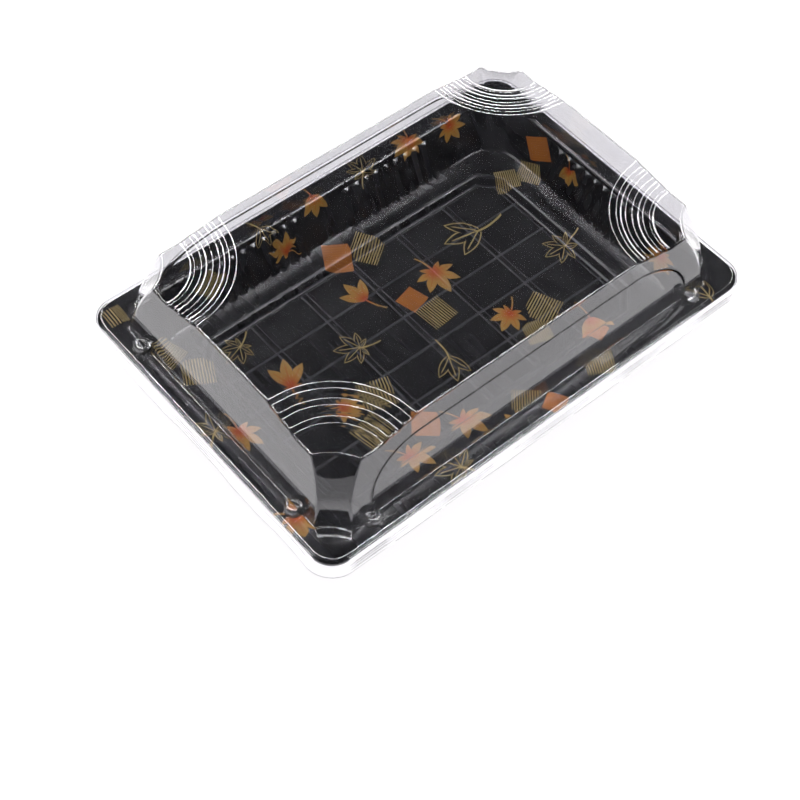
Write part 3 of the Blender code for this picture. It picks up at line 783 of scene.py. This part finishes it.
def print_material(group):
    material = simple_material("printed_black_sheet", (0.013, 0.013, 0.0145), 0.12)
    tree = material.node_tree
    links = tree.links
    shader = tree.nodes["Principled BSDF"]
    shader.inputs["IOR"].default_value = 1.5
    place = tree.nodes.new("ShaderNodeTexCoord").outputs["Object"]
    unfold = tree.nodes.new("ShaderNodeGroup")
    unfold.node_tree = unfold_group()
    links.new(place, unfold.inputs["Place"])
    flat = unfold.outputs["Flat"]
    wobble = tree.nodes.new("ShaderNodeTexNoise")
    wobble.inputs["Scale"].default_value = 420.0
    wobble.inputs["Detail"].default_value = 2.0
    links.new(flat, wobble.inputs["Vector"])
    shaken = vec(tree, "MULTIPLY", vec(tree, "SUBTRACT", wobble.outputs["Color"], (0.5, 0.5, 0.5)),
                 (0.25 * MM, 0.25 * MM, 0.0))
    drawn_at = vec(tree, "ADD", flat, shaken)
    nearer = ornament_group()
    held, distance = (9.0, 9.0, 0.0), 9.0
    for kind, centre, bearing, size in ORNAMENTS:
        node = tree.nodes.new("ShaderNodeGroup")
        node.node_tree = nearer
        middle = [unfolded(centre[axis] * MM, SHELF_HALF[axis], SHOULDER_HALF[axis]) for axis in (0, 1)]
        values = (("Place", drawn_at), ("Centre", (*middle, 0.0)),
                  ("Turn", math.radians(90 - bearing)), ("Size", size * MM), ("Kind", (0.0, 0.0, kind)),
                  ("Held", held), ("Held Distance", distance))
        for label, value in values:
            feed(links, node.inputs[label], value)
        held, distance = node.outputs["Held"], node.outputs["Held Distance"]
    split = tree.nodes.new("ShaderNodeSeparateXYZ")
    links.new(held, split.inputs[0])
    x, y, kind = split.outputs[0], split.outputs[1], split.outputs[2]

    def is_kind(first, last):
        return calc(tree, "MULTIPLY", calc(tree, "GREATER_THAN", kind, first - 0.5),
                    calc(tree, "LESS_THAN", kind, last + 0.5))

    sprig = is_kind(FILLED_SPRIG, DRAWN_SPRIG)
    leaf = tree.nodes.new("ShaderNodeGroup")
    leaf.node_tree = leaf_group()
    links.new(held, leaf.inputs["Local"])
    links.new(mix(tree, sprig, 3.0, 1.0, "FLOAT"), leaf.inputs["Lobes"])
    links.new(mix(tree, sprig, 0.74, 0.66, "FLOAT"), leaf.inputs["Spread"])
    depth, vein, stem, out = (leaf.outputs[name] for name in ("Depth", "Vein", "Stem", "Out"))
    inside = step(tree, -0.004, 0.012, depth)
    edge = calc(tree, "MULTIPLY", inside, step(tree, 0.04, 0.026, depth))
    drawn = calc(tree, "ADD", is_kind(DRAWN, DRAWN), is_kind(DRAWN_SPRIG, DRAWN_SPRIG))
    filled = calc(tree, "ADD", is_kind(FILLED, FILLED), is_kind(FILLED_SPRIG, FILLED_SPRIG))
    lines = calc(tree, "MAXIMUM", edge, calc(tree, "MAXIMUM", calc(tree, "MULTIPLY", vein, inside), stem))
    lines = calc(tree, "MULTIPLY", lines, drawn)
    fill_mask = calc(tree, "MULTIPLY", calc(tree, "MAXIMUM", inside, stem), filled)

    ax, ay = calc(tree, "ABSOLUTE", x), calc(tree, "ABSOLUTE", y)
    block = calc(tree, "MULTIPLY", step(tree, 0.72, 0.7, ax), step(tree, 0.72, 0.7, ay))
    stripes = calc(tree, "PINGPONG", calc(tree, "MULTIPLY", x, 7.8), 0.5)
    stripes = step(tree, 0.25, 0.33, stripes)
    hatch_mask = calc(tree, "MULTIPLY", calc(tree, "MULTIPLY", block, stripes), is_kind(HATCH, HATCH))
    square_mask = calc(tree, "MULTIPLY", block, is_kind(SQUARE, SQUARE))

    ramp = tree.nodes.new("ShaderNodeValToRGB")
    links.new(out, ramp.inputs["Fac"])
    stops = ((0.0, (0.26, 0.03, 0.01)), (0.18, (0.27, 0.072, 0.016)), (0.4, (0.26, 0.128, 0.028)),
             (0.95, (0.25, 0.145, 0.036)))
    for index, (position, colour) in enumerate(stops):
        stop = ramp.color_ramp.elements[index] if index < 2 else ramp.color_ramp.elements.new(position)
        stop.position = position
        stop.color = (*colour, 1.0)
    leaf_colour = mix(tree, calc(tree, "MULTIPLY", vein, 0.5), ramp.outputs["Color"], (0.26, 0.058, 0.014, 1.0))
    weave = calc(tree, "PINGPONG", calc(tree, "MULTIPLY", y, 7.0), 0.5)
    square_colour = mix(tree, weave, (0.23, 0.075, 0.015, 1.0), (0.32, 0.115, 0.024, 1.0))
    gold = (0.27, 0.2, 0.075, 1.0)
    # The black sheet, with painted highlight lines along the floor's ribs and round its stepped outline.
    black = mix(tree, painted_rib_highlights(tree, place), (0.013, 0.013, 0.0145, 1.0), (0.034, 0.034, 0.038, 1.0))
    colour = mix(tree, lines, black, gold)
    colour = mix(tree, hatch_mask, colour, gold)
    colour = mix(tree, square_mask, colour, square_colour)
    colour = mix(tree, fill_mask, colour, leaf_colour)
    normal = tree.nodes.new("ShaderNodeSeparateXYZ")
    links.new(tree.nodes.new("ShaderNodeNewGeometry").outputs["Normal"], normal.inputs[0])
    upper = calc(tree, "GREATER_THAN", normal.outputs[2], 0.02)
    colour = mix(tree, upper, (0.013, 0.013, 0.0145, 1.0), colour)
    wear, streak = add_sheet_marks(material, group)
    colour = mix(tree, calc(tree, "MULTIPLY", streak, 0.12), colour, (0.03, 0.03, 0.032, 1.0))
    links.new(colour, shader.inputs["Base Color"])
    inked = calc(tree, "MAXIMUM", calc(tree, "MAXIMUM", lines, hatch_mask), calc(tree, "MAXIMUM", square_mask, fill_mask))
    bare = mix(tree, wear, 0.1, 0.15, "FLOAT")
    links.new(mix(tree, calc(tree, "MULTIPLY", inked, upper), bare, 0.17, "FLOAT"), shader.inputs["Roughness"])
    return material


def formed_sheet_group():
    """Marks that forming leaves on a thin sheet: fine wear, faint drawn streaks and slow waves, each 0 to 1."""
    group, source, sink = new_group(
        "formed_sheet", (("Place", "NodeSocketVector"),),
        (("Wear", "NodeSocketFloat"), ("Streak", "NodeSocketFloat"), ("Wave", "NodeSocketFloat")))
    marks = (("Wear", 240.0, 1.0, (1.0, 1.0, 1.0)), ("Streak", 320.0, 1.0, (1.0, 0.08, 0.3)),
             ("Wave", 60.0, 0.0, (1.0, 1.0, 1.0)))
    for label, scale, detail, stretch in marks:
        noise = group.nodes.new("ShaderNodeTexNoise")
        noise.inputs["Scale"].default_value = scale
        noise.inputs["Detail"].default_value = detail
        group.links.new(vec(group, "MULTIPLY", source.outputs["Place"], stretch), noise.inputs["Vector"])
        group.links.new(step(group, 0.3, 0.7, noise.outputs["Fac"]), sink.inputs[label])
    return group


def add_sheet_marks(material, group):
    """Places the sheet's marks in a material, with its slow waves as a fine bump, and gives wear and streaks."""
    tree = material.node_tree
    marks = tree.nodes.new("ShaderNodeGroup")
    marks.node_tree = group
    tree.links.new(tree.nodes.new("ShaderNodeTexCoord").outputs["Object"], marks.inputs["Place"])
    bump = tree.nodes.new("ShaderNodeBump")
    bump.inputs["Strength"].default_value = 1.0
    bump.inputs["Distance"].default_value = 0.012 * MM
    tree.links.new(marks.outputs["Wave"], bump.inputs["Height"])
    tree.links.new(bump.outputs["Normal"], tree.nodes["Principled BSDF"].inputs["Normal"])
    return marks.outputs["Wear"], marks.outputs["Streak"]


def clear_material(group):
    material = simple_material("clear_sheet", (0.965, 0.962, 0.98), 0.02)
    nodes, links = material.node_tree.nodes, material.node_tree.links
    shader = nodes["Principled BSDF"]
    shader.inputs["Transmission Weight"].default_value = 1.0
    shader.inputs["IOR"].default_value = 1.5
    wear, streak = add_sheet_marks(material, group)
    links.new(mix(material.node_tree, wear, 0.012, 0.035, "FLOAT"), shader.inputs["Roughness"])
    links.new(mix(material.node_tree, streak, (0.972, 0.968, 0.985, 1.0), (0.955, 0.951, 0.973, 1.0)),
              shader.inputs["Base Color"])
    path = nodes.new("ShaderNodeLightPath")
    through = nodes.new("ShaderNodeBsdfTransparent")
    through.inputs["Color"].default_value = (0.93, 0.93, 0.94, 1.0)
    blend = nodes.new("ShaderNodeMixShader")
    links.new(path.outputs["Is Shadow Ray"], blend.inputs["Fac"])
    links.new(shader.outputs["BSDF"], blend.inputs[1])
    links.new(through.outputs["BSDF"], blend.inputs[2])
    links.new(blend.outputs["Shader"], nodes["Material Output"].inputs["Surface"])
    return material


# ---------------------------------------------------------------- stage

LENS = 76.73
CAMERA_PLACE = (-0.22147, -0.23010, 0.41246)
CAMERA_BACK = (-0.3955, -0.4232, 0.8152)
CAMERA_ROLL = math.radians(3.45)


def make_camera():
    data = bpy.data.cameras.new("camera")
    data.lens = LENS
    data.sensor_width = 36.0
    data.clip_start = 0.01
    camera = bpy.data.objects.new("camera", data)
    bpy.context.scene.collection.objects.link(camera)
    back = Vector(CAMERA_BACK).normalized()
    right = Vector((0.0, 0.0, 1.0)).cross(back).normalized()
    up = back.cross(right)
    turned_right = right * math.cos(CAMERA_ROLL) + up * math.sin(CAMERA_ROLL)
    turned_up = up * math.cos(CAMERA_ROLL) - right * math.sin(CAMERA_ROLL)
    turn = Matrix((turned_right, turned_up, back)).transposed()
    camera.matrix_world = Matrix.Translation(CAMERA_PLACE) @ turn.to_4x4()
    bpy.context.scene.camera = camera


def make_light(name, place, target, size, power, along=(1.0, 0.0, 0.0)):
    data = bpy.data.lights.new(name, "AREA")
    data.shape = "RECTANGLE"
    data.size, data.size_y = size
    data.energy = power
    light = bpy.data.objects.new(name, data)
    bpy.context.scene.collection.objects.link(light)
    back = (Vector(place) - Vector(target)).normalized()
    up = back.cross(Vector(along)).normalized()
    turn = Matrix((up.cross(back), up, back)).transposed()
    light.matrix_world = Matrix.Translation(place) @ turn.to_4x4()
    return light


def hide_from_matt(light):
    """Keeps the light out of what matt surfaces scatter, also where they see it through the clear lid."""
    light.visible_diffuse = False
    light.data.use_nodes = True
    tree = light.data.node_tree
    depth = tree.nodes.new("ShaderNodeLightPath").outputs["Diffuse Depth"]
    tree.links.new(calc(tree, "LESS_THAN", depth, 0.5), tree.nodes["Emission"].inputs["Strength"])


# A ring of narrow softboxes over the tray. Each is mirrored to the camera by creases that lean this far.
RING_LEAN = math.radians(16.2)
RING_DISTANCE = 1.3
RING_SIZE = (0.33, 0.15)
RING_POWER = (3.2, 2.6, 2.2, 2.2, 2.2, 2.6, 3.6, 4.0, 6.0, 3.6, 2.4, 3.6, 6.0, 0.3, 2.0, 3.0)
GLEAM_POWER = {0: 3.0, 4: 3.0, 8: 4.0, 12: 4.0}


# Two softboxes for the rounded edges and the fluted walls: the bearing their faces lean to, and the power.
EDGE_LEAN = math.radians(31.0)
EDGE_SIZE = (0.5, 0.3)
EDGE_LIGHTS = ((-0.5 * math.pi, 9.0), (math.pi, 8.0))


def mirrored_place(lean, bearing):
    """The place that faces leaning this far, to this bearing, mirror to the camera."""
    face = Vector((math.sin(lean) * math.cos(bearing), math.sin(lean) * math.sin(bearing), math.cos(lean)))
    back = Vector(CAMERA_BACK).normalized()
    return (2 * face.dot(back) * face - back) * RING_DISTANCE


def ring_place(share):
    """A place on the ring, by its share of the way round from +X."""
    return mirrored_place(RING_LEAN, 2 * math.pi * share)


def floor_material():
    """White translucent table that glows as if lit from below. Mirrored in glossy surfaces it glows about twice as
    brightly as seen directly, which is a painted reflection. Beyond the tray's near corner this mirrored glow is
    painted dimmer.
    """
    material = simple_material("table_white", (0.2, 0.198, 0.202), 0.9)
    tree = material.node_tree
    nodes, links = tree.nodes, tree.links
    shader = nodes["Principled BSDF"]
    shader.inputs["Specular IOR Level"].default_value = 0.0
    shader.inputs["Emission Color"].default_value = (1.0, 0.985, 1.0, 1.0)
    place = nodes.new("ShaderNodeTexCoord").outputs["Object"]
    grain = nodes.new("ShaderNodeTexNoise")
    grain.inputs["Scale"].default_value = 260.0
    links.new(place, grain.inputs["Vector"])
    links.new(mix(tree, grain.outputs["Fac"], (0.196, 0.194, 0.198, 1.0), (0.204, 0.202, 0.206, 1.0)),
              shader.inputs["Base Color"])
    path = nodes.new("ShaderNodeLightPath")
    mirrored_ray = calc(tree, "SUBTRACT", path.outputs["Is Glossy Ray"], path.outputs["Is Transmission Ray"])
    mirrored_ray = calc(tree, "MAXIMUM", mirrored_ray, 0.0)
    away = vec(tree, "DOT_PRODUCT", place, (-math.sqrt(0.5), -math.sqrt(0.5), 0.0))
    # Painted reflection: glossy rays see the table glow brighter, and dimmer beyond the tray's near corner.
    in_gloss = mix(tree, step(tree, *LIT_EDGE, away), TABLE_GLOW_IN_GLOSS, DIM_GLOW, "FLOAT")
    links.new(mix(tree, mirrored_ray, TABLE_GLOW, in_gloss, "FLOAT"), shader.inputs["Emission Strength"])
    return material


LIT_EDGE = (135.0 * MM, 185.0 * MM)
DIM_GLOW = 0.5
TABLE_GLOW = 0.94
TABLE_GLOW_IN_GLOSS = 1.8


def make_stage():
    floor = bpy.data.objects.new("floor", bpy.data.meshes.new("floor"))
    bm = bmesh.new()
    bmesh.ops.create_grid(bm, x_segments=1, y_segments=1, size=4.0)
    bmesh.ops.translate(bm, verts=bm.verts[:], vec=(0.0, 0.0, -0.02 * MM))
    bm.to_mesh(floor.data)
    bm.free()
    bpy.context.scene.collection.objects.link(floor)
    floor.data.materials.append(floor_material())
    world = bpy.data.worlds.new("studio")
    bpy.context.scene.world = world
    world.use_nodes = True
    world.node_tree.nodes["Background"].inputs["Color"].default_value = (0.95, 0.96, 1.0, 1.0)
    world.node_tree.nodes["Background"].inputs["Strength"].default_value = 0.4
    world.cycles_visibility.glossy = False
    world.cycles_visibility.transmission = False
    wash = make_light("wash", (-0.05, 0.05, 1.4), (0.0, 0.0, 0.0), (1.8, 1.8), 12.0)
    wash.visible_glossy = False
    wash.visible_transmission = False
    count = len(RING_POWER)
    for index, power in enumerate(RING_POWER):
        place = ring_place(index / count)
        along = ring_place((index + 0.5) / count) - ring_place((index - 0.5) / count)
        glint = make_light("glint", place, (0.0, 0.0, 0.0), RING_SIZE, power, along)
        glint.visible_diffuse = False
        glint.visible_transmission = False
        if index in GLEAM_POWER:
            gleam = make_light("gleam", place, (0.0, 0.0, 0.0), RING_SIZE, GLEAM_POWER[index], along)
            hide_from_matt(gleam)
            gleam.visible_glossy = False
    for index, (bearing, power) in enumerate(EDGE_LIGHTS):
        place = mirrored_place(EDGE_LEAN, bearing)
        edge = make_light("edge_light", place, (0.0, 0.0, 0.0), EDGE_SIZE, power, (1.0 - index, index, 0.0))
        hide_from_matt(edge)
        inner = make_light("wall_light", place, (0.0, 0.0, 0.0), EDGE_SIZE, 2.0 * power, (1.0 - index, index, 0.0))
        hide_from_matt(inner)
        inner.visible_glossy = False
    bpy.context.scene.view_settings.view_transform = "Standard"


marks = formed_sheet_group()
clear = clear_material(marks)
black = print_material(marks)
make_tray(black)
make_bumps(black)
make_lid(clear)
make_studs(clear)
make_stage()
make_camera()
